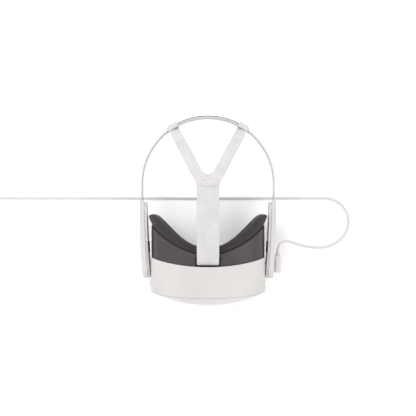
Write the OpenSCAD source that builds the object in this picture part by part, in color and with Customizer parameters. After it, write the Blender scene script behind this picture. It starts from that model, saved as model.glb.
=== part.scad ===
// Standalone VR headset: housing, lenses on a spacing mechanism, face cushion, pivoting head strap and charging lead.
// +X is the wearer's left, +Y the back of the head, +Z up. The base rests on z = 0.

/* [Housing] */
// Width of the housing, side to side
housing_w = 172; // [170:1:173]
// Height of the housing
housing_h = 98; // [96:1:99]
// Depth of the housing along the middle
housing_d = 44.5; // [44:0.5:45.5]
// Wall thickness of the moulded shells
wall = 2.5; // [2:0.1:3]
// Width of the nose notch in the housing
nose_w = 56; // [50:2:58]

/* [Front cover] */
// How far the front cover stands out from the housing's seam, at the middle
cover_bulge = 14.7; // [14:0.1:15]
// Radius of the cover's domed face
cover_r = 190; // [180:5:200]

/* [Face cushion] */
// How far the cushion's wings reach round the face
face_wrap = 47; // [46:0.5:48]
// Thickness of the foam at the forehead
foam_t = 10; // [9:0.5:11]
// Width over the foam's wings
foam_w = 176; // [174:1:177]

/* [Lenses] */
// Distance between the lens centres at rest
lens_spacing = 63; // [62:0.5:64]
// Radius of each lens
lens_r = 22; // [20:0.5:22]

/* [Head strap] */
// Outside width over the strap's arms
strap_w = 202; // [201:0.5:203]
// Height of the elastic band
band_h = 20; // [19:0.5:21]
// Thickness of the elastic band
band_t = 2; // [1.8:0.1:2.2]
// Width of the top strap
top_strap_w = 31.5; // [31:0.5:32]
// Width of each branch of the top strap
branch_w = 15.4; // [15:0.2:16]

/* [Charging lead] */
// Diameter of the lead
lead_d = 4; // [4:0.1:4.2]

/* [Hidden] */
$fn = 96;

shell_white = "#ECE9E8";
trim_white = "#F4F2F1";
soft_dark = "#3A3636";
frame_dark = "#4C4747";
metal = "#B4B6BA";
board_green = "#20533A";

fit = 0.05;       // radial clearance of a running fit
gap = 0.3;        // clearance between neighbouring parts
mid_z = housing_h / 2;
front_r = 550;    // plan radius of the housing's front edge
back_r = 300;     // plan radius of its back edge
seam_y = -125;    // front edge of the housing at the middle
back_y = seam_y + housing_d;
cover_y = seam_y - cover_bulge;

pivot_y = -85;    // axis on which the arms turn, along X
pivot_z = 55;
hub_r = 8;

face_y = -53.5;   // deepest point of the cushion's face
wing_y = -5;      // the foam's wings end here

arc_y = 40;       // centre of the band's rear arc
band_r = strap_w / 2 - 3.8;   // inner radius of the band
arm_curve = 1100; // plan radius of the arms
slider_a = 32;    // each slider's place on the rear arc, from straight back
slider_len = 9.7; // angle that a slider covers
strap_r = 150;    // side-view radius of the top strap
strap_t = 2;
strap_y = 1;      // centre of the top strap's curve
strap_z = -30;
seam_back = 33.5;  // where the top strap meets the yoke

// ---- outlines ----

function notch_z(x, w, h) = abs(x) < w ? h * (1 + cos(180 * x / w)) / 2 : 0;

// Goggle outline in the XZ plane: a rounded form with a flat base and a nose notch.
function goggle(w, top, n, notch_w, notch_h, base) = let (steps = 48) concat(
  [for (i = [0 : steps - 1]) let (a = 180 * i / steps)
    [w * cos(a), mid_z + (top - mid_z) * pow(1 - pow(abs(cos(a)), n), 1 / n)]],
  [for (i = [0 : steps - 1]) let (a = 180 + 180 * i / steps, x = w * cos(a),
    z = mid_z - (mid_z - base + 4) * pow(1 - pow(abs(cos(a)), n), 1 / n))
    [x, max(z, base, base + notch_z(x, notch_w, notch_h))]]
);

function arc_points(cx, cy, r, a0, a1, steps) =
  [for (i = [0 : steps]) let (a = a0 + (a1 - a0) * i / steps) [cx + r * cos(a), cy + r * sin(a)]];

// A tapered bar with round ends: radius r0 at y0 and r1 at y1, in the (y, z) plane.
function tapered_bar(y0, r0, y1, r1) = let (lean = asin((r0 - r1) / (y1 - y0))) concat(
  arc_points(y0, 0, r0, 90 - lean, 270 + lean, 24),
  arc_points(y1, 0, r1, lean - 90, 90 - lean, 24)
);

// Extrudes an XZ outline along Y, from y0 to y1.
module along_y(y0, y1) {
  translate([0, y1, 0]) rotate([90, 0, 0]) linear_extrude(y1 - y0) children();
}

// Extrudes a YZ outline along X, from x0 to x1.
module along_x(x0, x1) {
  translate([x0, 0, 0]) rotate([90, 0, 90]) linear_extrude(x1 - x0) children();
}

module upright(r, x, y, z0 = -20, z1 = 140) {
  translate([x, y, z0]) cylinder(h = z1 - z0, r = r, $fn = 192);
}

module rod_x(r, x0, x1, y, z) {
  translate([x0, y, z]) rotate([0, 90, 0]) cylinder(h = x1 - x0, r = r);
}

module rod_y(r, y0, y1, x, z) {
  translate([x, y0, z]) rotate([-90, 0, 0]) cylinder(h = y1 - y0, r = r);
}

module block(x0, x1, y0, y1, z0, z1) {
  translate([x0, y0, z0]) cube([x1 - x0, y1 - y0, z1 - z0]);
}

module mirrored() {
  children();
  mirror([1, 0, 0]) children();
}

// Slot with round ends along X.
module slot_x(r, half, y0, y1, x, z) {
  rod_y(r, y0, y1, x - half, z);
  rod_y(r, y0, y1, x + half, z);
  block(x - half, x + half, y0, y1, z - r, z + r);
}

// ---- housing and cover ----

module housing_outline(inset = 0) {
  polygon(goggle(housing_w / 2 - inset, housing_h - inset, 3, nose_w / 2 + inset, 9, inset));
}

module cavity_outline(inset = 0) {
  polygon(goggle(housing_w / 2 - 8.5 - inset, housing_h - wall - inset, 3, nose_w / 2 + 4 + inset, 10, wall + inset));
}

module front_curve(grow = 0) {
  upright(front_r + grow, 0, seam_y + front_r);
}

module back_curve(grow = 0) {
  upright(back_r + grow, 0, back_y + back_r);
}

// Recess in the housing's side where an arm turns.
module arm_pocket() {
  rod_x(17.5, pocket_x, 100, pivot_y, pivot_z);
  block(pocket_x, 100, pivot_y, -50, pivot_z - 21, pivot_z + 21);
}
pocket_x = 83.8;

power_y = -108.5;
volume_x = -41.5;
action_x = 41.5;
key_y = -100;
key_r = 3;
key_gap = 0.35;

module key_outline(half, grow = 0) {
  translate([-half, 0]) circle(key_r + grow);
  translate([half, 0]) circle(key_r + grow);
  translate([-half, -key_r - grow]) square([2 * half, 2 * (key_r + grow)]);
}

module main_housing() color(shell_white) difference() {
  intersection() {
    along_y(-150, -50) housing_outline();
    front_curve();
  }
  back_curve();
  along_y(-151, -49) cavity_outline();
  mirrored() {
    arm_pocket();
    rod_x(hub_r - 2, 70, 90, pivot_y, pivot_z);
  }
  translate([-90, power_y, pivot_z]) rotate([0, 90, 0]) linear_extrude(20) key_outline(4, key_gap);
  translate([volume_x, key_y, -2]) linear_extrude(8) key_outline(8, key_gap);
  translate([action_x, key_y, -2]) linear_extrude(8) key_outline(3, key_gap);
  rod_x(1.4, 70, 90, light_y, light_z);
}

light_y = -107.3;
light_z = 68;

module cover_dome(r) {
  translate([0, cover_y + cover_r, mid_z]) sphere(r, $fn = 192);
}

window_x = 55;
window_z = 47;

module window_outline(grow = 0) {
  translate([0, 13]) circle(11 + grow);
  translate([0, -13]) circle(11 + grow);
  translate([-11 - grow, -13]) square([22 + 2 * grow, 26]);
}

module front_cover() color(trim_white) difference() {
  intersection() {
    along_y(-150, -100) housing_outline(0.8);
    cover_dome(cover_r);
  }
  front_curve(gap);
  intersection() {
    along_y(-151, -99) housing_outline(0.8 + wall);
    cover_dome(cover_r - wall);
  }
  mirrored() translate([window_x, 0, window_z]) along_y(-150, -100) window_outline();
}

module sensor_windows() color("#151517") mirrored() difference() {
  intersection() {
    translate([window_x, 0, window_z]) along_y(-150, -100) window_outline(-0.15);
    cover_dome(cover_r - 0.3);
  }
  cover_dome(cover_r - wall + 0.2);
}

// ---- cameras, boards and cooling ----

plate_y = -120.5;  // front of the chassis plate
camera_y = -125.5;

module camera_group(z, r) {
  mirrored() {
    rod_y(r, camera_y, plate_y, window_x, z);
    block(window_x - r - 1, window_x + r + 1, plate_y - 2.5, plate_y, z - r - 1, z + r + 1);
  }
}

module tracking_cameras() color("#1C1C20") {
  camera_group(window_z - 14, 4.5);
  camera_group(window_z + 18, 3.5);
}

module color_cameras() color("#26262C") camera_group(window_z + 6, 5.5);

module infrared_lamps() color("#3A1F2A") mirrored()
  rod_y(2.2, camera_y, plate_y, window_x, window_z - 5);

module chassis_screws() color(metal) for (x = [-50, 50], z = [18, 78]) {
  rod_y(2.2, plate_y - 1.4, plate_y, x, z);
  rod_y(1.2, plate_y, plate_y + 3, x, z);
}

module chassis_plate() color(metal) difference() {
  block(-62, 62, plate_y, plate_y + 1.5, 13, 84);
  for (x = [-50, 50], z = [18, 78]) rod_y(1.2 + fit, plate_y - 1, plate_y + 4, x, z);
  rod_y(6, plate_y - 1, plate_y + 3, 0, fan_z);
}

board_y = plate_y + 2;

module mainboard() color(board_green) difference() {
  block(-58, 58, board_y, board_y + 1.2, 15, 82);
  for (x = [-50, 50], z = [18, 78]) rod_y(1.2 + fit, board_y - 1, board_y + 3, x, z);
  rod_y(6, board_y - 1, board_y + 3, 0, fan_z);
}

module processor_shield() color("#8F9499") {
  block(-48, -14, board_y + 1.2, board_y + 3, 50, 80);
  block(14, 46, board_y + 1.2, board_y + 3, 56, 80);
}

fan_z = 62;
fan_y = -132;
fan_r = 21;

module fan_housing() color("#2B2B2E") difference() {
  rod_y(fan_r + 2, fan_y, plate_y, 0, fan_z);
  rod_y(fan_r, fan_y + 1.5, plate_y - 1.5, 0, fan_z);
  rod_y(13, fan_y - 1, fan_y + 2, 0, fan_z);
  rod_y(1.5 + fit, plate_y - 2, plate_y + 1, 0, fan_z);
  block(-9, 9, fan_y + 1.5, plate_y - 1.5, fan_z + 10, fan_z + 30);
}

module fan_rotor() color("#3C3C42") {
  rod_y(1.5, fan_y + 4, plate_y - 0.2, 0, fan_z);
  rod_y(8, fan_y + 2.2, plate_y - 2.2, 0, fan_z);
  for (i = [0 : 8]) translate([0, 0, fan_z]) rotate([0, i * 40, 0])
    translate([5, fan_y + 2.6, 1]) rotate([0, 20, 0]) cube([14, plate_y - fan_y - 5.2, 1]);
}

module battery() color("#2E3238") block(-47, 47, -116, -107, 24, 48);

// ---- display and lenses ----

display_y = -105.5;

module display_panel() color("#101216") block(-62, 62, display_y, display_y + 1.6, 18, 80);

module display_frame() color(metal) difference() {
  block(-66, 66, display_y - 1.2, display_y + 2.6, 14, 84);
  block(-62 - fit, 62 + fit, display_y, display_y + 1.6, 18 - fit, 80 + fit);
  block(-59, 59, display_y, display_y + 5, 21, 77);
}

lens_x = lens_spacing / 2;
bezel_y = -87;
rail_y = -95;
rail_x = 73;       // the rails end in the housing's side walls
rail_zs = [mid_z - 29, mid_z + 29];
pinion_z = mid_z + 29 - 11;
pinion_pitch = 4;
pinion_teeth = 16;
tooth = 3.14159265 * 2 * pinion_pitch / pinion_teeth; // pitch along the racks
rack_y0 = -94;
rack_y1 = -91;

module lens_bezel() color("#232224") difference() {
  along_y(bezel_y, bezel_y + 2) cavity_outline();
  mirrored() slot_x(25.6, 3, bezel_y - 1, bezel_y + 3, lens_x, mid_z);
  rod_y(2, bezel_y - 1, bezel_y + 3, 0, 80);
}

module proximity_sensor() color("#101014") rod_y(2 - fit, bezel_y - 2, bezel_y + 1.6, 0, 80);

module lens_rails() color(metal) for (z = rail_zs) rod_x(1.5, -rail_x, rail_x, rail_y, z);

// Barrel of the lens on +X, with its two guide lugs.
module lens_barrel() difference() {
  union() {
    translate([lens_x, -101.5, mid_z]) rotate([-90, 0, 0]) cylinder(h = 23.5, r1 = 25.4, r2 = 24.4);
    for (z = rail_zs) block(lens_x - 9, lens_x + 9, rail_y - 3, rail_y + 3, min(z, mid_z) - (z > mid_z ? 0 : 3),
      max(z, mid_z) + (z > mid_z ? 3 : 0));
  }
  translate([lens_x, -102, mid_z]) rotate([-90, 0, 0]) cylinder(h = 25, r1 = 23.4, r2 = 22.6);
  for (z = rail_zs) rod_x(1.5 + fit, 0, 70, rail_y, z);
}

module lens_barrel_left() color("#2A2A2D") {
  lens_barrel();
  rack_bar(pinion_z + pinion_pitch, 1);
}

module lens_barrel_right() color("#2A2A2D") mirror([1, 0, 0]) {
  lens_barrel();
  rack_bar(pinion_z - pinion_pitch, -1);
}

// Rack from the barrel on +X across the pinion. side is 1 above the pinion and -1 below it.
module rack_bar(z, side) {
  bar_z = z + side * 1.55;
  reach = lens_x - sqrt(24.4 * 24.4 - pow(bar_z - mid_z, 2));
  block(-2.5 * tooth - 0.1, reach, rack_y0, rack_y1, bar_z - 1.05, bar_z + 1.05);
  along_y(rack_y0, rack_y1) for (i = [-2 : 2]) translate([i * tooth, z]) polygon([[-0.40, side * 0.6],
    [-0.22, 0], [-0.10, -side * 0.42], [0.10, -side * 0.42], [0.22, 0], [0.40, side * 0.6]]);
}

// One polygon for a whole gear: each tooth is [radius, angle in degrees] pairs about its middle.
function gear_points(teeth, shape) = [for (i = [0 : teeth - 1], p = shape)
  let (a = 360 * i / teeth + 90 + 180 / teeth + p[1]) [p[0] * cos(a), p[0] * sin(a)]];

pinion_tooth = [[3.45, -7.6], [4, -4.3], [4.4, -1.9], [4.4, 1.9], [4, 4.3], [3.45, 7.6]];

module spacing_pinion() color("#D9D4C4") difference() {
  along_y(rack_y0, rack_y1) translate([0, pinion_z]) polygon(gear_points(pinion_teeth, pinion_tooth));
  rod_y(1 + fit, rack_y0 - 1, rack_y1 + 1, 0, pinion_z);
}

module pinion_pin() color(metal) rod_y(1, rack_y0 - 4, bezel_y, 0, pinion_z);

// Domed lens with flat rim.
module lens() {
  translate([lens_x, 0, mid_z]) intersection() {
    rod_y(lens_r, -90, -70, 0, 0);
    translate([0, -78.5 - 60, 0]) sphere(60, $fn = 192);
    translate([0, -86 + 90, 0]) sphere(90, $fn = 192);
  }
}

module lens_left() color("#9FB4C4", 0.6) lens();

module lens_right() color("#9FB4C4", 0.6) mirror([1, 0, 0]) lens();

// ---- face cushion ----

function crease(x) = face_y - foam_t + 0.0059 * x * x;

function face(x) = face_y + face_wrap * pow(abs(x) / 74, 1.83);

// Upright block from one plan curve back to another.
module between(front, back) translate([0, 0, -1]) linear_extrude(120) polygon(concat(
  [for (x = [-92 : 4 : 92]) [x, front == "crease" ? crease(x) : -100]],
  [for (x = [92 : -4 : -92]) [x, back == "crease" ? crease(x) - 0.2 : max(face(x), crease(x) + 1)]]
));

module interface_frame() color(frame_dark) difference() {
  intersection() {
    along_y(-100, wing_y - 6) polygon(goggle(housing_w / 2 - 1.8, housing_h - 3.5, 3, 27, 34, 0));
    between("front", "crease");
    back_curve(-0.2);
  }
  along_y(-101, wing_y) polygon(goggle(housing_w / 2 - 7, housing_h - 7, 3, 32, 38, 3.5));
  block(-18, 18, -90, crease(0) - 3, 86, 100);
}

module face_foam() color(soft_dark) difference() {
  intersection() {
    along_y(-80, wing_y) polygon(goggle(foam_w / 2, housing_h - 3, 3, 26, 33, 1));
    between("crease", "face");
  }
  along_y(-90, 0) polygon(goggle(67, 80, 2.8, 40, 46, 18));
}

anchor_y = -74.6;
anchor_z = 91.5;
anchor_r = 1.6;

module strap_anchor() color("#1E1D1E") {
  block(-17.8, 17.8, -80.6, crease(0) - 0.5, 86.2, 87.6);
  for (x = [-17.8, 16.4]) block(x, x + 1.4, anchor_y - 3, anchor_y + 3, 87.6, anchor_z + 2.4);
  rod_x(anchor_r, -16.4, 16.4, anchor_y, anchor_z);
}

// ---- top strap ----

module strap_shell(t0 = 0, t1 = strap_t) difference() {
  rod_x(strap_r + t1, -80, 80, strap_y, strap_z);
  rod_x(strap_r + t0, -81, 81, strap_y, strap_z);
}

fold_top = strap_z + sqrt(strap_r * strap_r - pow(anchor_y + 3 - strap_y, 2));

module top_strap() color(trim_white) {
  intersection() {
    strap_shell();
    block(-top_strap_w / 2, top_strap_w / 2, anchor_y + 1, seam_back - 0.8, 60, 140);
  }
  difference() {
    union() {
      rod_x(anchor_r + 2.2, -top_strap_w / 2, top_strap_w / 2, anchor_y, anchor_z);
      block(-top_strap_w / 2, top_strap_w / 2, anchor_y + 1, anchor_y + 3, anchor_z, fold_top + 0.5);
    }
    rod_x(anchor_r + 0.2, -20, 20, anchor_y, anchor_z);
  }
}

branch_x = 51;     // where the middle of a branch meets its slider
branch_y = 120.4;
fork_x = 7.5;      // where it leaves the yoke
fork_y = 37.4;
crotch_y = 50.5;   // the fork's rounded inside corner

// Point on the outer (side = -1) or inner (side = 1) edge of the branch on +X, at distance t from the fork.
function branch_point(t, side) = let (a = atan2(branch_y - fork_y, branch_x - fork_x))
  [fork_x + t * cos(a) - side * sin(a) * branch_w / 2, fork_y + t * sin(a) + side * cos(a) * branch_w / 2];

yoke_half = [
  [top_strap_w / 2, seam_back + 0.8], [top_strap_w / 2, fork_y - 0.9], branch_point(110, -1),
  branch_point(110, 1), branch_point(20, 1), [8, crotch_y + 4.6], [4.8, crotch_y + 1.7]
];

module strap_yoke() color(trim_white) intersection() {
  strap_shell();
  translate([0, 0, 20]) linear_extrude(120) polygon(concat(yoke_half, [[0, crotch_y]],
    [for (i = [len(yoke_half) - 1 : -1 : 0]) [-yoke_half[i][0], yoke_half[i][1]]]));
  upright(band_r - 4, 0, arc_y);
}

module yoke_patch() color(shell_white) intersection() {
  strap_shell(strap_t, strap_t + 0.8);
  translate([0, 0, 60]) linear_extrude(80) intersection() {
    translate([0, seam_back + 1]) circle(top_strap_w / 2 - 0.6);
    translate([-20, seam_back + 1]) square([40, 20]);
  }
}

// ---- keys and light ----

module power_button() color(shell_white)
  translate([-housing_w / 2 - 0.3, power_y, pivot_z]) rotate([0, 90, 0]) linear_extrude(6) key_outline(4);

module volume_rocker() color(shell_white) difference() {
  union() {
    translate([volume_x, key_y, 0.4]) linear_extrude(3.6) key_outline(8);
    block(volume_x - 2.2, volume_x + 2.2, key_y - 2.2, key_y + 2.2, 4, 7.2);
  }
  rod_y(1 + fit, key_y - 5, key_y + 5, volume_x, 5.4);
}

module volume_pin() color(metal) {
  rod_y(1, key_y - 6, key_y + 6, volume_x, 5.4);
  for (y = [key_y - 6.8, key_y + 4.8]) block(volume_x - 1.6, volume_x + 1.6, y, y + 2, wall, 4.6);
}

module action_button() color(shell_white) {
  translate([action_x, key_y, 0.4]) linear_extrude(3.6) key_outline(3);
  translate([action_x, key_y, 4]) cylinder(h = 3, r = 1.6);
}

module status_light() color("#7BE26E") rod_x(1.35, 79, 84.8, light_y, light_z);

// ---- hubs, arms and clips ----

arm_x = strap_w / 2 - arm_curve;  // centre of the arms' plan curve, for the arm on +X
arm_mid_y = 10;
arm_end_y = 4;                    // centre of the arm's round rear end
clip_end_y = 15.6;
bar_h0 = 15;
bar_h1 = 8.5;

module arm_layer(inner, outer) intersection() {
  upright(arm_curve - outer, arm_x, arm_mid_y);
  difference() {
    block(70, 110, -110, 20, 20, 90);
    upright(arm_curve - inner, arm_x, arm_mid_y);
  }
  children();
}

clip_t = 7;
arm_t = 3.7;

function arm_face(y, inset) = arm_x + sqrt(pow(arm_curve - inset, 2) - pow(y - arm_mid_y, 2));

function bar_top(y) = pivot_z + (y < pivot_y
  ? sqrt(bar_h0 * bar_h0 - pow(y - pivot_y, 2))
  : bar_h0 - (bar_h0 - bar_h1) * (y - pivot_y) / (arm_end_y - pivot_y));

// Rows of small sound slots along the arm's top edge: one along its length, and a second one towards the front.
module sound_slots() for (i = [0 : 24], row = i < 13 ? [0, 1] : [0])
  let (y = -95 + 3.9 * i + 1.6 * row, x = arm_face(y, clip_t) - 1.9 * row)
    block(x - 0.9, x + 0.05, y - 1, y + 1, bar_top(y) - 2.5, 90);

cap_x = 90.3;     // inner face of the hub's cap

module arm_body() difference() {
  arm_layer(clip_t + arm_t, clip_t)
    translate([0, 0, pivot_z]) along_x(70, 110) polygon(tapered_bar(pivot_y, bar_h0, arm_end_y, bar_h1));
  rod_x(hub_r + fit, 60, 110, pivot_y, pivot_z);
  rod_x(hub_r + 2.9, cap_x - 0.3, 110, pivot_y, pivot_z);
  along_speaker(speaker_r, 1.4, 4.5);
  for (y = [-21, -17, -13]) translate([0, y, pivot_z]) block(70, 93, -0.7, 0.7, -5, 5);
  sound_slots();
}

speaker_y = -17;
speaker_r = 7;

// Short rod across the arm at the speaker, at depths d0 to d1 from the arm's inner face.
module along_speaker(r, d0, d1) {
  inner = arm_face(speaker_y, clip_t + arm_t);
  rod_x(r, inner + d0, inner + d1, speaker_y, pivot_z);
}

module arm_left() color(shell_white) arm_body();

module arm_right() color(shell_white) mirror([1, 0, 0]) arm_body();

module speaker_left() color("#232326") along_speaker(speaker_r, 1.4, 3.4);

module speaker_right() color("#232326") mirror([1, 0, 0]) along_speaker(speaker_r, 1.4, 3.4);

// Dark rubber pads on the inner faces of the arms, behind the pivots.
module arm_pads() color("#181718") mirrored() difference() {
  block(80, 96, -62, -46, pivot_z - 9, pivot_z + 9);
  upright(arm_curve - clip_t - arm_t - 1, arm_x, arm_mid_y);
  difference() {
    block(79, 110, -70, -40, 30, 80);
    upright(arm_curve - clip_t - arm_t, arm_x, arm_mid_y);
  }
}

module clip_body() difference() {
  arm_layer(clip_t, 0) translate([0, 0, pivot_z]) along_x(70, 110) union() {
    polygon(tapered_bar(pivot_y, bar_h0 + 0.5, arm_end_y, band_h / 2 - 1));
    polygon([[arm_end_y - 3, -band_h / 2 + 0.6], [clip_end_y, -band_h / 2 + 0.6],
      [clip_end_y, band_h / 2 - 0.6], [arm_end_y - 3, band_h / 2 - 0.6]]);
  }
  rod_x(hub_r + 2.9, 60, 120, pivot_y, pivot_z);
  linear_extrude(120) polygon([[60, 8], [arm_face(8, clip_t) - 0.5, 8], [band_r, clip_end_y], [band_r, 20], [60, 20]]);
}

module strap_clip_left() color(trim_white) clip_body();

module strap_clip_right() color(trim_white) mirror([1, 0, 0]) clip_body();

hub_face = 96.2;

// Fixed hub on +X: a shaft in the housing's wall, a shoulder that the arm turns on, and a cap.
module hub() {
  rod_x(hub_r - 2, 78, pocket_x, pivot_y, pivot_z);
  rod_x(hub_r, pocket_x, cap_x, pivot_y, pivot_z);
  rod_x(hub_r + 2.6, cap_x, hub_face, pivot_y, pivot_z);
}

module socket_frame() {
  translate([0, pivot_y, pivot_z]) children();
}

module hub_left() color(shell_white) difference() {
  hub();
  socket_frame() block(87, 100, -4.9, 4.9, -2, 2);
}

module hub_right() color(shell_white) mirror([1, 0, 0]) hub();

module charging_socket() color(metal) socket_frame() difference() {
  block(87, 95.6, -4.9, 4.9, -2, 2);
  block(88, 97, -4.3, 4.3, -1.4, 1.4);
}

// ---- band and sliders ----

module arc_ring(r0, r1, z0, z1) difference() {
  upright(r1, 0, arc_y, z0, z1);
  upright(r0, 0, arc_y, z0 - 1, z1 + 1);
}

// Keeps a sector about straight back, from angle a0 to a1, on +X.
module sector(a0, a1) translate([0, arc_y, 0]) linear_extrude(160) polygon(
  concat([[0, 0]], arc_points(0, 0, 130, 90 - a1, 90 - a0, 6)));

module elastic_band() color(trim_white) {
  z0 = pivot_z - band_h / 2;
  difference() {
    arc_ring(band_r, band_r + band_t, z0, z0 + band_h);
    block(-120, 120, -100, arc_y, 0, 120);
  }
  mirrored() block(band_r, band_r + band_t, clip_end_y, arc_y, z0, z0 + band_h);
}

module rear_pad() color("#6E6663") intersection() {
  arc_ring(band_r + band_t, band_r + band_t + 0.8, pivot_z - band_h / 2 + 0.4, pivot_z + band_h / 2 - 0.4);
  union() {
    sector(0, slider_a);
    mirror([1, 0, 0]) sector(0, slider_a);
  }
}

module slider() intersection() {
  difference() {
    arc_ring(band_r - 2.2, band_r + band_t + 3.8, pivot_z - band_h / 2 - 2.5, pivot_z + band_h / 2 + 2.5);
    arc_ring(band_r - gap, band_r + band_t + 2.2, pivot_z - band_h / 2 - gap, pivot_z + band_h / 2 + gap);
  }
  sector(slider_a - slider_len / 2, slider_a + slider_len / 2);
}

module slider_left() color(shell_white) slider();

module slider_right() color(shell_white) mirror([1, 0, 0]) slider();

// ---- charging lead ----

plug_x0 = hub_face;
plug_x1 = 108;
relief_x = 104;
relief_y = 18;

module lead_plug() color(trim_white) socket_frame() {
  block(plug_x0, plug_x0 + 4, -6.2, 6.2, -3.2, 3.2);
  block(plug_x0 + 3.6, plug_x1, -7, relief_y, -5, 5);
}

module plug_contacts() color(metal) socket_frame() block(89, plug_x0, -4.1, 4.1, -1.2, 1.2);

module lead_relief() color(trim_white) socket_frame() translate([relief_x, relief_y, 0]) rotate([-90, 0, 0])
  cylinder(h = 6, r1 = 3.4, r2 = lead_d / 2 + 0.4);

// The lead's route in millimetres: out of the plug, down to the surface, round a loop and straight past the back.
lead_route = [
  [104, -61, 55], [104.6, -57, 54.4], [106.8, -52.2, 50.5], [110.5, -48.8, 46], [116.3, -46.8, 40],
  [124, -47.6, 31.5], [132.3, -50.3, 23], [142, -53.4, 14], [152, -56, 7.2], [164, -58, 3], [178, -58.6, 2.1],
  [193, -55.7, 2.1], [207.5, -47.6, 2.1], [217.5, -35, 2.1], [222, -19.5, 2.1], [220, -5, 2.1],
  [213, 6.5, 2.1], [202.5, 14.6, 2.1], [190, 18.7, 2.1], [176, 19.3, 2.1], [120, 19.3, 2.1], [40, 19.3, 2.1],
  [-40, 19.3, 2.1], [-120, 19.3, 2.1], [-200, 19.3, 2.1], [-280, 19.3, 2.1], [-361, 19.3, 2.1]
];

function spline(a, b, c, d, t) = 0.5 * (2 * b + (c - a) * t + (2 * a - 5 * b + 4 * c - d) * t * t
  + (3 * b - a - 3 * c + d) * t * t * t);

// Smooth points along a route, with steps between each pair of its points.
function smooth(route, steps) = let (last = len(route) - 1) concat(
  [for (i = [0 : last - 1], k = [0 : steps - 1])
    spline(route[max(i - 1, 0)], route[i], route[i + 1], route[min(i + 2, last)], k / steps)],
  [route[last]]);

function unit(v) = v / norm(v);

// Ring of points about p, square to direction d.
function ring_at(p, d, r, sides) = let (
  side = unit(cross(d, [0, 0, 1])), up = cross(side, d)
) [for (i = [0 : sides - 1]) let (a = 360 * i / sides) p + r * (cos(a) * side + sin(a) * up)];

module tube(path, r, sides) {
  n = len(path);
  rings = [for (i = [0 : n - 1]) ring_at(path[i], unit(path[min(i + 1, n - 1)] - path[max(i - 1, 0)]), r, sides)];
  polyhedron(
    points = [for (ring = rings, p = ring) p],
    faces = concat(
      [[for (k = [0 : sides - 1]) k]],
      [for (i = [0 : n - 2], k = [0 : sides - 1]) let (a = i * sides, j = (k + 1) % sides)
        [a + k, a + sides + k, a + sides + j, a + j]],
      [[for (k = [sides - 1 : -1 : 0]) (n - 1) * sides + k]]
    )
  );
}

module lead_cable() color(trim_white) tube(smooth(lead_route, 2), lead_d / 2, 8);

coil_x = -361;
coil_y = -6.7;
coil_r = 22;       // middle of the turns

module lead_coil() color(trim_white) translate([coil_x, coil_y, 0])
  rotate_extrude() translate([coil_r - 1.5 * lead_d, 0.1]) square([3 * lead_d, 2 * lead_d]);

module coil_tie() color("#8C8C8E") translate([coil_x, coil_y, 0]) rotate([0, 0, 340]) difference() {
  block(coil_r - 8, coil_r + 7.6, -4, 4, 0, 9.4);
  block(coil_r - 7, coil_r + 6.6, -5, 5, -1, 8.4);
}

module lead_tail() color(trim_white) rod_y(lead_d / 2, coil_y - 34, coil_y - 10.5, coil_x - coil_r - 3.75, 2.1);

module charger_plug() color(trim_white) translate([coil_x - coil_r - 3.75, coil_y - 34, 0]) {
  block(-6, 6, -24, 0, 0.2, 6.8);
  block(-4.1, 4.1, -30.6, -24, 2.3, 4.7);
}

main_housing();
front_cover();
sensor_windows();
tracking_cameras();
color_cameras();
infrared_lamps();
chassis_plate();
chassis_screws();
mainboard();
processor_shield();
fan_housing();
fan_rotor();
battery();
display_panel();
display_frame();
lens_bezel();
proximity_sensor();
lens_rails();
lens_barrel_left();
lens_barrel_right();
lens_left();
lens_right();
spacing_pinion();
pinion_pin();
interface_frame();
face_foam();
strap_anchor();
top_strap();
power_button();
volume_rocker();
volume_pin();
action_button();
status_light();
hub_left();
hub_right();
charging_socket();
arm_left();
arm_right();
speaker_left();
speaker_right();
arm_pads();
strap_clip_left();
strap_clip_right();
elastic_band();
rear_pad();
slider_left();
slider_right();
strap_yoke();
yoke_patch();
lead_plug();
plug_contacts();
lead_relief();
lead_cable();
lead_coil();
coil_tie();
lead_tail();
charger_plug();
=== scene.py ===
"""VR headset: camera, charging lead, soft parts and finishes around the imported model.

Sizes are named in millimetres, as in the CAD, and MM turns them into Blender's metres.
"""
import math

import bpy
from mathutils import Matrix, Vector


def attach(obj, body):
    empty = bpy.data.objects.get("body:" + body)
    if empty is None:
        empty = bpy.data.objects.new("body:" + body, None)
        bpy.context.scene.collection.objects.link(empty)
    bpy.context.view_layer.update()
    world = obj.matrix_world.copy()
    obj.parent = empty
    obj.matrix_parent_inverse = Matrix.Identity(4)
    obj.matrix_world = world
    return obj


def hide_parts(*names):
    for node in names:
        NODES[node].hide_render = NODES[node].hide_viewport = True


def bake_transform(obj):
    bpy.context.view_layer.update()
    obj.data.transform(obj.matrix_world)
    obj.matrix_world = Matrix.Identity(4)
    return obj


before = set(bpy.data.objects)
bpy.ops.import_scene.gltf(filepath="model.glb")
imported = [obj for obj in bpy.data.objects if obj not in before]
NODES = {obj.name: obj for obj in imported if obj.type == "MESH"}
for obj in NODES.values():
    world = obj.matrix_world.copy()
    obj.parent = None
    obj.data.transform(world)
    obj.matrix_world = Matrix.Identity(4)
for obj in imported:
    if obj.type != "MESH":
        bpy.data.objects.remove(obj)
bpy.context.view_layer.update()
MM = 0.001
scene = bpy.context.scene


def millimetres(points):
    return [Vector(p) * MM for p in points]


# ---- camera ----

camera_data = bpy.data.cameras.new("camera")
camera_data.lens = 51.9
camera_data.sensor_width = 36
camera = bpy.data.objects.new("camera", camera_data)
camera.location = (0, 0.0037, 0.95)
scene.collection.objects.link(camera)
scene.camera = camera


# ---- mesh helpers ----

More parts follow.
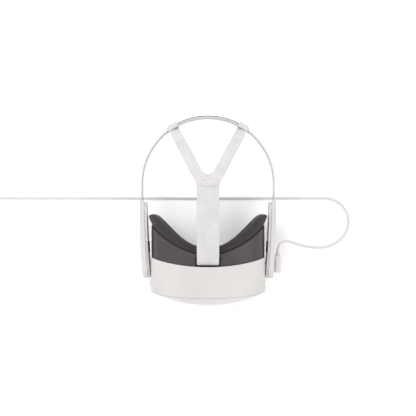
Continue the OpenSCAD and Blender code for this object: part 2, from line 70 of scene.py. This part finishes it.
def add_mesh(name, points, faces, uvs=None):
    """Smooth-shaded mesh object. uvs holds one (u, v) per point."""
    mesh = bpy.data.meshes.new(name)
    mesh.from_pydata([tuple(p) for p in points], [], faces)
    if uvs:
        layer = mesh.uv_layers.new(name="cloth")
        for loop in mesh.loops:
            layer.data[loop.index].uv = uvs[loop.vertex_index]
    mesh.update()
    mesh.shade_smooth()
    piece = bpy.data.objects.new(name, mesh)
    scene.collection.objects.link(piece)
    return piece


def loft(name, rings, uvs=None, closed=False):
    """Skin over rings of equally many points.

    closed joins the last ring to the first; otherwise both ends are capped.
    """
    sides = len(rings[0])
    count = len(rings)
    faces = []
    for i in range(count if closed else count - 1):
        a, b = i * sides, ((i + 1) % count) * sides
        for k in range(sides):
            j = (k + 1) % sides
            faces.append((a + k, a + j, b + j, b + k))
    if not closed:
        faces.append(tuple(range(sides - 1, -1, -1)))
        faces.append(tuple((count - 1) * sides + k for k in range(sides)))
    flat_uvs = [uv for ring in uvs for uv in ring] if uvs else None
    return add_mesh(name, [p for ring in rings for p in ring], faces, flat_uvs)


def lathe(name, profile, start, axis, sides=32):
    """Solid of revolution: profile is (distance along axis, radius) pairs."""
    axis = Vector(axis).normalized()
    across = axis.orthogonal().normalized()
    other = axis.cross(across)
    rings = []
    for along, radius in profile:
        centre = Vector(start) + axis * along
        rings.append([centre + radius * (math.cos(a) * across + math.sin(a) * other)
                      for a in (2 * math.pi * k / sides for k in range(sides))])
    return loft(name, rings)


def band_section(width, thick, across=10, round_steps=5):
    """Outline of a strap's section, counted round once: (place across, height) pairs with rounded edges."""
    half, r = width / 2, thick / 2
    flat = half - r
    points = [(flat * (2 * k / across - 1), r) for k in range(across + 1)]
    points += [(flat + r * math.sin(a), r * math.cos(a))
               for a in (math.pi * k / round_steps for k in range(1, round_steps))]
    points += [(-x, -h) for x, h in points[:across + 1]]
    points += [(-flat - r * math.sin(a), -r * math.cos(a))
               for a in (math.pi * k / round_steps for k in range(1, round_steps))]
    return points


def strap(name, path, across, width, thick):
    """Strap along path. across gives the direction of its width at each point; its face is square to both."""
    rings, uvs, along = [], [], 0
    section = band_section(width, thick)
    for i, centre in enumerate(path):
        ahead = (path[min(i + 1, len(path) - 1)] - path[max(i - 1, 0)]).normalized()
        side = Vector(across[i]).normalized()
        up = side.cross(ahead).normalized()
        if i:
            along += (centre - path[i - 1]).length
        rings.append([centre + x * side + h * up for x, h in section])
        uvs.append([(x, along) for x, h in section])
    return loft(name, rings, uvs)


def stitches(name, points, ups, length=2.2 * MM, gap=1.2 * MM, radius=0.28 * MM):
    """Row of thread stitches lying along points."""
    verts, faces = [], []
    travelled = 0
    next_start = 0
    for a, b, up in zip(points, points[1:], ups):
        step = b - a
        size = step.length
        while next_start + length <= travelled + size + 1e-9:
            s = a + step * ((next_start - travelled) / size)
            d = step.normalized()
            side = d.cross(up).normalized()
            base = len(verts)
            for t, grow in ((0, 0.25), (0.2, 0.9), (0.5, 1.15), (0.8, 0.9), (1, 0.25)):
                c = s + d * (length * t)
                verts.extend(c + radius * grow * (math.cos(q) * side + math.sin(q) * up)
                             for q in (2 * math.pi * k / 6 for k in range(6)))
            for r in range(4):
                for k in range(6):
                    j = (k + 1) % 6
                    near, far = base + r * 6, base + r * 6 + 6
                    faces.append((near + k, near + j, far + j, far + k))
            faces.append(tuple(base + k for k in range(5, -1, -1)))
            faces.append(tuple(base + 24 + k for k in range(6)))
            next_start += length + gap
        travelled += size
    return add_mesh(name, verts, faces)


# ---- materials ----

class Shader:
    """A node material built round one Principled shader."""

    def __init__(self, name, **sockets):
        self.material = bpy.data.materials.new(name)
        self.material.use_nodes = True
        self.tree = self.material.node_tree
        self.surface = self.tree.nodes["Principled BSDF"]
        for socket, value in sockets.items():
            self.surface.inputs[socket.replace("_", " ")].default_value = value
        self.place = self.tree.nodes.new("ShaderNodeTexCoord")
        self.bumps = None

    def node(self, kind, links=(), **values):
        made = self.tree.nodes.new(kind)
        for key, value in values.items():
            if hasattr(made, key):
                setattr(made, key, value)
            else:
                made.inputs[key.replace("_", " ")].default_value = value
        for socket, source in links:
            self.tree.links.new(source, made.inputs[socket])
        return made

    def noise(self, scale, detail=3, rough=0.5):
        return self.node("ShaderNodeTexNoise", [("Vector", self.place.outputs["Object"])],
                         Scale=scale, Detail=detail, Roughness=rough).outputs["Fac"]

    def spread(self, source, low, high, start=0.0, end=1.0):
        made = self.node("ShaderNodeMapRange", [("Value", source)])
        for socket, value in (("From Min", start), ("From Max", end), ("To Min", low), ("To Max", high)):
            made.inputs[socket].default_value = value
        return made.outputs["Result"]

    def tint(self, source, first, second, start=0.3, end=0.7):
        ramp = self.node("ShaderNodeValToRGB", [("Fac", source)])
        ramp.color_ramp.elements[0].position = start
        ramp.color_ramp.elements[1].position = end
        ramp.color_ramp.elements[0].color = (*first, 1)
        ramp.color_ramp.elements[1].color = (*second, 1)
        self.to("Base Color", ramp.outputs["Color"])
        return ramp

    def to(self, socket, source):
        self.tree.links.new(source, self.surface.inputs[socket])

    def bump(self, height, strength, distance):
        links = [("Height", height)]
        if self.bumps:
            links.append(("Normal", self.bumps))
        made = self.node("ShaderNodeBump", links, Strength=strength, Distance=distance)
        self.bumps = made.outputs["Normal"]
        self.to("Normal", self.bumps)

    def math(self, operation, first, second=None):
        made = self.node("ShaderNodeMath", operation=operation)
        for socket, value in ((0, first), (1, second)):
            if value is None:
                continue
            if isinstance(value, (int, float)):
                made.inputs[socket].default_value = value
            else:
                self.tree.links.new(value, made.inputs[socket])
        return made.outputs[0]


def plastic(name, first, second, rough, grain=0.03, coat=0.0, grain_scale=2600):
    """Moulded plastic: slight tone drift, fine mould grain and uneven gloss."""
    s = Shader(name, Roughness=rough, Coat_Weight=coat, Coat_Roughness=0.25)
    s.tint(s.noise(22, 4), first, second)
    s.to("Roughness", s.spread(s.noise(160, 3), rough - 0.05, rough + 0.06))
    s.bump(s.noise(grain_scale, 2), grain, 0.00012)
    return s.material


def woven(name, first, second, pitch, rough=0.85, depth=0.35, rib=1.0):
    """Webbing: crossing threads of the given pitch, in metres, along the piece's own length and width."""
    s = Shader(name, Roughness=rough, Sheen_Weight=0.25, Sheen_Roughness=0.5)
    split = s.node("ShaderNodeSeparateXYZ", [("Vector", s.place.outputs["UV"])])
    turn = 2 * math.pi / pitch
    warp = s.math("SINE", s.math("MULTIPLY", split.outputs["X"], turn))
    weft = s.math("SINE", s.math("MULTIPLY", split.outputs["Y"], turn * rib))
    weave = s.math("MULTIPLY", warp, weft)
    fuzz = s.noise(1800, 3)
    height = s.math("ADD", s.math("MULTIPLY", weave, 0.5), s.math("MULTIPLY", fuzz, 0.8))
    s.tint(s.math("ADD", s.math("MULTIPLY", weave, 0.45), s.noise(60, 4)), first, second, 0.15, 0.85)
    s.bump(height, depth, 0.0003)
    return s.material


WHITE_A, WHITE_B = (0.565, 0.538, 0.532), (0.605, 0.580, 0.574)
shell_white = plastic("shell_white", WHITE_A, WHITE_B, 0.42, 0.05)
cover_white = plastic("cover_white", (0.575, 0.548, 0.543), (0.612, 0.588, 0.583), 0.34, 0.03, coat=0.15)
inner_black = plastic("inner_black", (0.016, 0.016, 0.018), (0.026, 0.025, 0.028), 0.55, 0.10)
window_black = plastic("window_black", (0.004, 0.004, 0.005), (0.008, 0.008, 0.010), 0.12, 0.01, coat=0.6)
camera_glass = plastic("camera_glass", (0.010, 0.008, 0.016), (0.022, 0.014, 0.030), 0.14, 0.01, coat=0.8)
interface_dark = plastic("interface_dark", (0.038, 0.032, 0.033), (0.052, 0.044, 0.045), 0.36, 0.08)
# Near-black rubber for the arm pads; on the strap anchor the same near-black is painted shade for the dark
# gap round the strap's front end.
pad_rubber = plastic("pad_rubber", (0.010, 0.010, 0.010), (0.020, 0.019, 0.019), 0.70, 0.15)
lead_white = plastic("lead_white", (0.600, 0.572, 0.567), (0.650, 0.624, 0.618), 0.48, 0.06)
tie_grey = plastic("tie_grey", (0.20, 0.20, 0.21), (0.28, 0.28, 0.29), 0.62, 0.15)
board_green = plastic("board_green", (0.014, 0.080, 0.040), (0.024, 0.120, 0.060), 0.40, 0.10)
cell_grey = plastic("cell_grey", (0.040, 0.046, 0.055), (0.060, 0.068, 0.078), 0.45, 0.05)
screen_black = plastic("screen_black", (0.006, 0.007, 0.010), (0.012, 0.013, 0.018), 0.10, 0.01, coat=0.7)
pinion_cream = plastic("pinion_cream", (0.60, 0.56, 0.45), (0.68, 0.64, 0.53), 0.45, 0.05)
thread_white = plastic("thread_white", (0.66, 0.63, 0.62), (0.76, 0.73, 0.72), 0.80, 0.20)

webbing_white = woven("webbing_white", (0.515, 0.498, 0.497), (0.660, 0.646, 0.645), 0.0022)
band_white = woven("band_white", (0.590, 0.568, 0.563), (0.700, 0.680, 0.675), 0.0012, rib=2.0)
band_dark = woven("band_dark", (0.075, 0.060, 0.057), (0.160, 0.132, 0.126), 0.0012, rib=2.0, depth=0.6)


def brushed(name, tone, rough):
    """Metal with fine scratches drawn out along one axis."""
    s = Shader(name, Metallic=1.0, Roughness=rough)
    stretch = s.node("ShaderNodeMapping", [("Vector", s.place.outputs["Object"])])
    stretch.inputs["Scale"].default_value = (40, 40, 2400)
    grain = s.node("ShaderNodeTexNoise", [("Vector", stretch.outputs["Vector"])], Scale=1.0, Detail=4.0)
    s.tint(grain.outputs["Fac"], [c * 0.85 for c in tone], tone)
    s.to("Roughness", s.spread(grain.outputs["Fac"], rough - 0.08, rough + 0.1))
    s.bump(grain.outputs["Fac"], 0.1, 0.0001)
    return s.material


aluminium = brushed("aluminium", (0.62, 0.63, 0.65), 0.34)
steel = brushed("steel", (0.56, 0.56, 0.57), 0.26)


def foam_material():
    """Charcoal foam: mottled open-cell skin with a soft sheen."""
    s = Shader("foam_charcoal", Roughness=0.95, Sheen_Weight=0.06, Sheen_Roughness=0.6)
    cells = s.node("ShaderNodeTexVoronoi", [("Vector", s.place.outputs["Object"])], Scale=900.0)
    mottle = s.math("ADD", s.math("MULTIPLY", s.noise(420, 5, 0.65), 0.8),
                    s.math("MULTIPLY", cells.outputs["Distance"], 0.3))
    s.tint(mottle, (0.015, 0.012, 0.013), (0.046, 0.039, 0.040), 0.30, 0.78)
    s.bump(cells.outputs["Distance"], 0.45, 0.0004)
    s.bump(s.noise(1500, 3), 0.35, 0.0003)
    return s.material


foam_charcoal = foam_material()


def patch_material():
    """Moulded patch with a pebbled, slightly glossy surface."""
    s = Shader("patch_pebbled", Roughness=0.5, Coat_Weight=0.1)
    pebbles = s.node("ShaderNodeTexVoronoi", [("Vector", s.place.outputs["Object"])], Scale=620.0)
    s.tint(s.noise(500, 3), (0.50, 0.482, 0.478), (0.655, 0.638, 0.634), 0.35, 0.65)
    s.bump(pebbles.outputs["Distance"], 0.5, 0.0004)
    return s.material


patch_pebbled = patch_material()


def lens_material():
    """Clear lens with a faint moulded ripple in its surface and gloss."""
    s = Shader("lens_clear", Base_Color=(0.86, 0.92, 0.95, 1), Roughness=0.03, IOR=1.5,
               Transmission_Weight=0.9)
    rings = s.node("ShaderNodeTexNoise", [("Vector", s.place.outputs["Object"])], Scale=60.0)
    s.bump(rings.outputs["Fac"], 0.02, 0.0001)
    s.to("Roughness", s.spread(rings.outputs["Fac"], 0.02, 0.06))
    return s.material


lens_clear = lens_material()


def light_material():
    s = Shader("light_green", Roughness=0.4, Emission_Strength=2.2)
    glow = s.node("ShaderNodeValToRGB", [("Fac", s.noise(900, 2))])
    glow.color_ramp.elements[0].color = (0.08, 0.72, 0.08, 1)
    glow.color_ramp.elements[1].color = (0.22, 0.95, 0.20, 1)
    s.to("Base Color", glow.outputs["Color"])
    s.to("Emission Color", glow.outputs["Color"])
    return s.material


light_green = light_material()

FINISH = {
    shell_white: ["main_housing", "power_button", "volume_rocker", "action_button", "hub_left", "hub_right",
                  "arm_left", "arm_right"],
    cover_white: ["front_cover", "strap_clip_left", "strap_clip_right", "slider_left", "slider_right"],
    window_black: ["sensor_windows", "proximity_sensor"],
    camera_glass: ["tracking_cameras", "color_cameras", "infrared_lamps"],
    aluminium: ["chassis_plate", "processor_shield", "display_frame"],
    steel: ["chassis_screws", "lens_rails", "pinion_pin", "volume_pin", "charging_socket", "plug_contacts"],
    board_green: ["mainboard"],
    inner_black: ["fan_housing", "fan_rotor", "lens_bezel", "lens_barrel_left", "lens_barrel_right",
                  "speaker_left", "speaker_right"],
    cell_grey: ["battery"],
    screen_black: ["display_panel"],
    lens_clear: ["lens_left", "lens_right"],
    pinion_cream: ["spacing_pinion"],
    interface_dark: ["interface_frame"],
    # The strap anchor is a real part, painted near-black to stand in for the shade of the gap round the
    # strap's front end; the arm pads are black rubber.
    pad_rubber: ["strap_anchor", "arm_pads"],
    light_green: ["status_light"],
    lead_white: ["lead_plug", "charger_plug"],
    tie_grey: ["coil_tie"],
}


def paint(piece, material):
    piece.data.materials.clear()
    piece.data.materials.append(material)


for material, names in FINISH.items():
    for node_name in names:
        paint(NODES[node_name], material)


def soften(name, width, angle=32, segments=3):
    """Rounds a CAD node's sharp edges with modifiers; its own vertices stay."""
    piece = NODES[name]
    weld = piece.modifiers.new("weld", "WELD")
    weld.merge_threshold = 2e-6
    bevel = piece.modifiers.new("bevel", "BEVEL")
    bevel.width = width
    bevel.segments = segments
    bevel.limit_method = "ANGLE"
    bevel.angle_limit = math.radians(angle)
    bevel.use_clamp_overlap = True
    bevel.harden_normals = True
    bevel.miter_outer = "MITER_ARC"


for node_name, width in {
    "main_housing": 0.9, "front_cover": 0.8, "interface_frame": 1.4, "arm_left": 0.5, "arm_right": 0.5,
    "strap_clip_left": 1.6, "strap_clip_right": 1.6, "slider_left": 1.4, "slider_right": 1.4,
    "lead_plug": 1.6, "charger_plug": 1.4, "hub_left": 0.5, "hub_right": 0.5, "arm_pads": 0.3,
    "power_button": 0.3, "volume_rocker": 0.3, "action_button": 0.3, "coil_tie": 0.6, "strap_anchor": 0.4,
    "lens_bezel": 0.4,
}.items():
    soften(node_name, width * MM)


# ---- charging lead ----

LEAD = 4 * MM
ROUTE = [
    (104, -61, 55), (104.6, -57, 54.4), (106.8, -52.2, 50.5), (110.5, -48.8, 46), (116.3, -46.8, 40),
    (124, -47.6, 31.5), (132.3, -50.3, 23), (142, -53.4, 14), (152, -56, 7.2), (164, -58, 3),
    (178, -58.6, 2.1),
    (193, -55.7, 2.1), (207.5, -47.6, 2.1), (217.5, -35, 2.1), (222, -19.5, 2.1), (220, -5, 2.1),
    (213, 6.5, 2.1), (202.5, 14.6, 2.1), (190, 18.7, 2.1), (176, 19.3, 2.1), (120, 19.3, 2.1),
    (40, 19.3, 2.1),
    (-40, 19.3, 2.1), (-120, 19.3, 2.1), (-200, 19.3, 2.1), (-280, 19.3, 2.1),
]
COIL = (-361, -6.7)


def coil_points(turns=4.25, per_turn=18):
    """Flat spiral of two turns inwards, then outwards again on top of it."""
    points = []
    for i in range(int(turns * per_turn) + 1):
        n = i / per_turn
        z = 2.15
        if n < 2:
            r = 26 - 4 * n
        elif n < 3:
            r = 17.7
            below = 26 - 4 * (n - 1)
            z += min(4.05, math.sqrt(max(0.0, 16.6 - (below - r) ** 2)))
        elif n < 4:
            r = min(18 + 15 * (n - 3), 22)
            z += 4.1
        else:
            r = 22 + 15 * (n - 4)
            z += 4.1
        a = math.pi / 2 + 2 * math.pi * n
        points.append((COIL[0] + r * math.cos(a), COIL[1] + r * math.sin(a), z))
    return points


TAIL = [(COIL[0] - 26.1, COIL[1] - 8, 6.2), (COIL[0] - 26, COIL[1] - 16, 5.6),
        (COIL[0] - 25.8, COIL[1] - 25, 3.8),
        (COIL[0] - 25.75, COIL[1] - 34.5, 3.4)]


def cable(name, points, diameter):
    """Round cable on one open spline through the points."""
    curve = bpy.data.curves.new(name, "CURVE")
    curve.dimensions = "3D"
    curve.bevel_depth = diameter / 2
    curve.bevel_resolution = 4
    curve.resolution_u = 8
    curve.use_fill_caps = True
    spline = curve.splines.new("BEZIER")
    spline.bezier_points.add(len(points) - 1)
    for i, p in enumerate(points):
        before, after = points[max(i - 1, 0)], points[min(i + 1, len(points) - 1)]
        ahead = (after - before).normalized()
        knot = spline.bezier_points[i]
        knot.handle_left_type = knot.handle_right_type = "FREE"
        knot.co = p
        knot.handle_left = p - ahead * (p - before).length / 3
        knot.handle_right = p + ahead * (after - p).length / 3
    piece = bpy.data.objects.new(name, curve)
    scene.collection.objects.link(piece)
    return piece


lead = cable("lead", millimetres(ROUTE + coil_points() + TAIL), LEAD)
lead.data.materials.append(lead_white)
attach(lead, "headset")
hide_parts("lead_cable", "lead_coil", "lead_tail")

# Ribbed strain relief where the lead leaves the plug.
relief_profile = [(-0.3, 2.3), (0, 3.5)]
for rib in range(4):
    relief_profile += [(0.4 + 1.45 * rib, 3.4 - 0.28 * rib), (1.1 + 1.45 * rib, 3.35 - 0.28 * rib),
                       (1.25 + 1.45 * rib, 2.75 - 0.2 * rib), (1.65 + 1.45 * rib, 2.72 - 0.2 * rib)]
relief_profile += [(6.2, 2.3), (6.3, 2.0)]
relief = lathe("lead_relief_ribbed", [(a * MM, r * MM) for a, r in relief_profile],
               (104 * MM, -67 * MM, 55 * MM), (0, 1, 0))
paint(relief, lead_white)
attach(relief, "headset")
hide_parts("lead_relief")


# ---- cushion ----

HALF_WIDTH, TOP, MID_Z = 88, 95, 49
FACE_Y, FOAM_T, WRAP = -53.5, 10, 47


def notch(x, width, height):
    return height * (1 + math.cos(math.pi * x / width)) / 2 if abs(x) < width else 0


BASE_SPARE = 4      # how far the outline would run below its flat base
FLOOR_BLEND = 3     # how softly it meets the base


def goggle(angle, width, top, power, notch_width, notch_height, base):
    """Point of a rounded outline with a flat base and a nose notch, at an angle in radians."""
    c, s = math.cos(angle), math.sin(angle)
    x = width * c
    lift = (1 - abs(c) ** power) ** (1 / power)
    if s >= 0:
        return x, MID_Z + (top - MID_Z) * lift
    z = MID_Z - (MID_Z - base + BASE_SPARE) * lift
    floor = base + notch(x, notch_width, notch_height)
    gap = z - floor
    return x, floor + (gap + math.sqrt(gap * gap + FLOOR_BLEND * FLOOR_BLEND)) / 2\
        - 1.5 * math.exp(-abs(gap) / 6)


def crease_y(x):
    return FACE_Y - FOAM_T + 0.0059 * x * x


def face_y(x):
    reach = FACE_Y + WRAP * (abs(x) / 74) ** 1.83
    limit = -4.6
    gap = limit - reach
    return limit - (gap + math.sqrt(gap * gap + 36)) / 2


def squircle(angle, power):
    c, s = math.cos(angle), math.sin(angle)
    return tuple((math.copysign(abs(t) ** (2 / power), t) + 1) / 2 for t in (c, s))


LEAN = 7            # how far the face slopes forward towards its lower edge
CROWN = 1.2         # swell of the foam between its edges
TIP_FLARE = 0.030   # share by which the tips stand out at the face and pull in at the frame


def cushion(name, rings=220, sides=40):
    """Closed foam ring: a crowned section that follows the face, swept round the goggle outline."""
    made = []
    for i in range(rings):
        a = 2 * math.pi * i / rings
        ox, oz = goggle(a, HALF_WIDTH - 0.3, TOP - 0.2, 3, 26, 33, 1.2)
        ix, iz = goggle(a, 67, 80, 2.8, 40, 46, 18)
        ring = []
        for k in range(sides):
            u, v = squircle(2 * math.pi * k / sides, 3.0)
            x, z = ix + (ox - ix) * u, iz + (oz - iz) * u
            front = crease_y(x)
            lean = LEAN * (1 - z / TOP) * math.exp(-(x / 60) ** 4)
            back = max(face_y(x) - lean, front + 4)
            crown = CROWN * math.sin(math.pi * u) * (v - 0.5)
            y = front + (back - front) * v + crown
            pinch = 1 + TIP_FLARE * (v ** 1.5 - (1 - v)) * u * (abs(x) / HALF_WIDTH) ** 4
            ring.append(Vector((x * pinch, y, z)) * MM)
        made.append(ring)
    return loft(name, made, closed=True)


foam = cushion("foam_cushion")
paint(foam, foam_charcoal)
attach(foam, "headset")
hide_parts("face_foam")


# ---- top strap and fork ----

SHELL_R, SHELL_Y, SHELL_Z = 151, 1, -30
STRAP_W, STRAP_T, SEAM_Y = 31.5, 2, 33.5
FORK, BRANCH_END, BRANCH_W, CROTCH_Y = (7.5, 37.4), (51, 120.4), 15.4, 50.5


def on_shell(x, y, lift=0.0):
    """Point on the top strap's curve above plan point (x, y), and the direction square to it."""
    z = math.sqrt((SHELL_R) ** 2 - (y - SHELL_Y) ** 2)
    up = Vector((0, (y - SHELL_Y) / SHELL_R, z / SHELL_R))
    return Vector((x, y, SHELL_Z + z)) * MM + up * lift * MM, up


# (y, z) of the free end tucked round the anchor bar.
wrap = [(-72.8, 88.6), (-75.0, 88.6), (-76.8, 89.8), (-77.4, 91.6), (-77.1, 93.8), (-76.4, 96.2),
        (-75.2, 98.6)]
strap_path = millimetres([(0, y, z) for y, z in wrap])
strap_path += [on_shell(0, -72.6 + 3 * k)[0] for k in range(int((SEAM_Y + 3 + 72.6) / 3) + 1)]
front_strap = strap("top_strap_front", strap_path, [(1, 0, 0)] * len(strap_path), STRAP_W * MM, STRAP_T * MM)
paint(front_strap, webbing_white)

run = Vector((BRANCH_END[0] - FORK[0], BRANCH_END[1] - FORK[1]))
run.normalize()
square_to_run = Vector((-run.y, run.x))


def edge_point(t, side):
    p = Vector(FORK) + run * t + square_to_run * side * BRANCH_W / 2
    return p.x, p.y


def along_line(points, share):
    """Point at a share of a polyline's length."""
    sizes = [math.dist(a, b) for a, b in zip(points, points[1:])]
    left = share * sum(sizes)
    for a, b, size in zip(points, points[1:], sizes):
        if left <= size or b is points[-1]:
            t = min(1, left / size)
            return a[0] + (b[0] - a[0]) * t, a[1] + (b[1] - a[1]) * t
        left -= size


INNER = [(0, SEAM_Y), (0, CROTCH_Y), (2.4, CROTCH_Y + 0.5), (4.8, CROTCH_Y + 1.9), (6.6, CROTCH_Y + 3.4),
         (8, CROTCH_Y + 4.9), edge_point(20, 1)]
OUTER = [(STRAP_W / 2 + 0.3, SEAM_Y), (STRAP_W / 2 + 0.3, 36.4), edge_point(5, -1), edge_point(20, -1)]


def branch(name, side):
    """Half of the fork and its branch, from the seam to the slider. side is 1 on +X and -1 on -X."""
    stations = [(along_line(INNER, k / 16), along_line(OUTER, k / 16)) for k in range(17)]
    stations += [(edge_point(20 + 3.2 * k, 1), edge_point(20 + 3.2 * k, -1)) for k in range(1, 27)]
    across = 12
    rings, uvs, along, last = [], [], 0, None
    for inner, outer in stations:
        middle = Vector(((inner[0] + outer[0]) / 2, (inner[1] + outer[1]) / 2))
        if math.hypot(middle.x, middle.y - 40) > 95.6:
            break
        if last is not None:
            along += (middle - last).length
        last = middle
        width = math.dist(inner, outer)
        top, bottom = [], []
        for k in range(across + 1):
            q = (1 - math.cos(math.pi * k / across)) / 2
            x, y = inner[0] + (outer[0] - inner[0]) * q, inner[1] + (outer[1] - inner[1]) * q
            flat_inner = inner[0] == 0 and q < 0.5
            half = STRAP_T / 2 * (1.0 if flat_inner else (1 - abs(2 * q - 1) ** 14) ** 0.5)
            seam_lift = 0.7 * max(0, 1 - (y - SEAM_Y) / 14)
            point, up = on_shell(side * x, y, seam_lift)
            uv = (width * (q - 0.5) * MM, along * MM)
            top.append((point + up * half * MM, uv))
            bottom.append((point - up * half * MM, uv))
        loop = top + bottom[-2::-1]   # the outer edge's two rows meet in one point
        if side < 0:
            loop = loop[::-1]
        rings.append([p for p, uv in loop])
        uvs.append([uv for p, uv in loop])
    return loft(name, rings, uvs)


branches = {"left": branch("fork_left", 1), "right": branch("fork_right", -1)}
for piece in branches.values():
    paint(piece, webbing_white)

arch = []
for k in range(33):
    a = math.pi * k / 32
    arch.append((14.6 * math.cos(a), 37.5 + 12.6 * math.sin(a)))
arch = [(14.6, SEAM_Y + 0.4)] + arch + [(-14.6, SEAM_Y + 0.4)]


def patch(name):
    """Thin arched patch on the fork, crowned a little at its edge."""
    centre = (0, 41)
    rings = []
    for share, lift in ((0.0, 0.34), (0.35, 0.34), (0.7, 0.34), (0.92, 0.32), (0.98, 0.24), (1.0, 0.05)):
        ring = []
        for x, y in arch:
            px, py = centre[0] + (x - centre[0]) * share, centre[1] + (y - centre[1]) * share
            ring.append(on_shell(px, py, STRAP_T / 2 + 0.7 * max(0, 1 - (py - SEAM_Y) / 14) + lift)[0])
        rings.append(ring)
    rings.append([p - Vector((0, 0, 0.6 * MM)) for p in rings[-1]])
    sides = len(arch)
    points = [p for ring in rings for p in ring]
    faces = []
    for i in range(len(rings) - 1):
        for k in range(sides):
            j = (k + 1) % sides
            faces.append((i * sides + k, (i + 1) * sides + k, (i + 1) * sides + j, i * sides + j))
    last = (len(rings) - 1) * sides
    faces.append(tuple(last + k for k in range(sides - 1, -1, -1)))
    return add_mesh(name, points, faces)


yoke_patch = patch("fork_patch")
paint(yoke_patch, patch_pebbled)
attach(yoke_patch, "head_strap")
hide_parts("yoke_patch")


def seam(name, plan, lift):
    points, ups = [], []
    for x, y in plan:
        point, up = on_shell(x, y, lift)
        points.append(point)
        ups.append(up)
    piece = stitches(name, points, ups)
    paint(piece, thread_white)
    return piece


seam_row = seam("seam_stitches", [(-14.5 + k, SEAM_Y + 1.5) for k in range(30)], STRAP_T / 2 + 1.1)
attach(seam_row, "head_strap")
end_row = seam("strap_end_stitches", [(-14 + k, -66) for k in range(29)], STRAP_T / 2 + 0.05)
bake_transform(end_row)

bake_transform(front_strap)
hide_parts("top_strap")
for side_name, sign in (("left", 1), ("right", -1)):
    piece = branches[side_name]
    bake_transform(piece)
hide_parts("strap_yoke")


# ---- elastic band ----

BAND_MID_R, BAND_T, BAND_H, ARC_Y, BAND_Z, CLIP_END = 98.2, 2.0, 20, 40, 55, 15.6


def band_path(radius, start_angle, end_angle, steps, straight=0.0):
    """Plan path from +X round the back to -X. Angles are from straight back, in degrees."""
    points = []
    if straight:
        points += [(radius, CLIP_END + straight * k / 4) for k in range(4)]
    for k in range(steps + 1):
        a = math.radians(90 - start_angle + (start_angle - end_angle) * k / steps)
        points.append((radius * math.cos(a), ARC_Y + radius * math.sin(a)))
    if straight:
        points += [(-radius, ARC_Y - straight * k / 4) for k in range(1, 5)]
    return millimetres([(x, y, BAND_Z) for x, y in points])


path = band_path(BAND_MID_R, 90, -90, 72, ARC_Y - CLIP_END)
band = strap("head_band", path, [(0, 0, 1)] * len(path), BAND_H * MM, BAND_T * MM)
paint(band, band_white)
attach(band, "head_strap")
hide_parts("elastic_band")

path = band_path(99.2 + 0.55, 33, -33, 36)
backing = strap("band_backing", path, [(0, 0, 1)] * len(path), (BAND_H - 0.4) * MM, 0.9 * MM)
paint(backing, band_dark)
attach(backing, "head_strap")
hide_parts("rear_pad")

# ---- floor and light ----

bpy.ops.mesh.primitive_plane_add(size=9, location=(0, 0, -0.0002))
floor = bpy.context.object
floor.name = "floor"
floor_look = Shader("floor_white", Roughness=0.75)
floor_look.tint(floor_look.noise(3, 2), (0.925, 0.925, 0.925), (0.94, 0.94, 0.94))
floor_look.surface.inputs["Emission Color"].default_value = (1, 1, 1, 1)
floor_look.surface.inputs["Emission Strength"].default_value = 0.10
paint(floor, floor_look.material)

world = bpy.data.worlds.new("studio")
world.use_nodes = True
world.node_tree.nodes["Background"].inputs["Color"].default_value = (1, 1, 1, 1)
world.node_tree.nodes["Background"].inputs["Strength"].default_value = 1.0
scene.world = world


def area_light(name, place, target, size, power):
    data = bpy.data.lights.new(name, "AREA")
    data.shape = "DISK"
    data.size = size
    data.energy = power
    piece = bpy.data.objects.new(name, data)
    piece.location = place
    piece.rotation_euler = (Vector(target) - Vector(place)).to_track_quat("-Z", "Y").to_euler()
    scene.collection.objects.link(piece)


area_light("key", (-0.9, 0.9, 1.9), (0, 0, 0), 1.2, 17)
area_light("fill", (1.2, -0.5, 1.6), (0, 0, 0), 1.5, 5)

scene.view_settings.view_transform = "Standard"
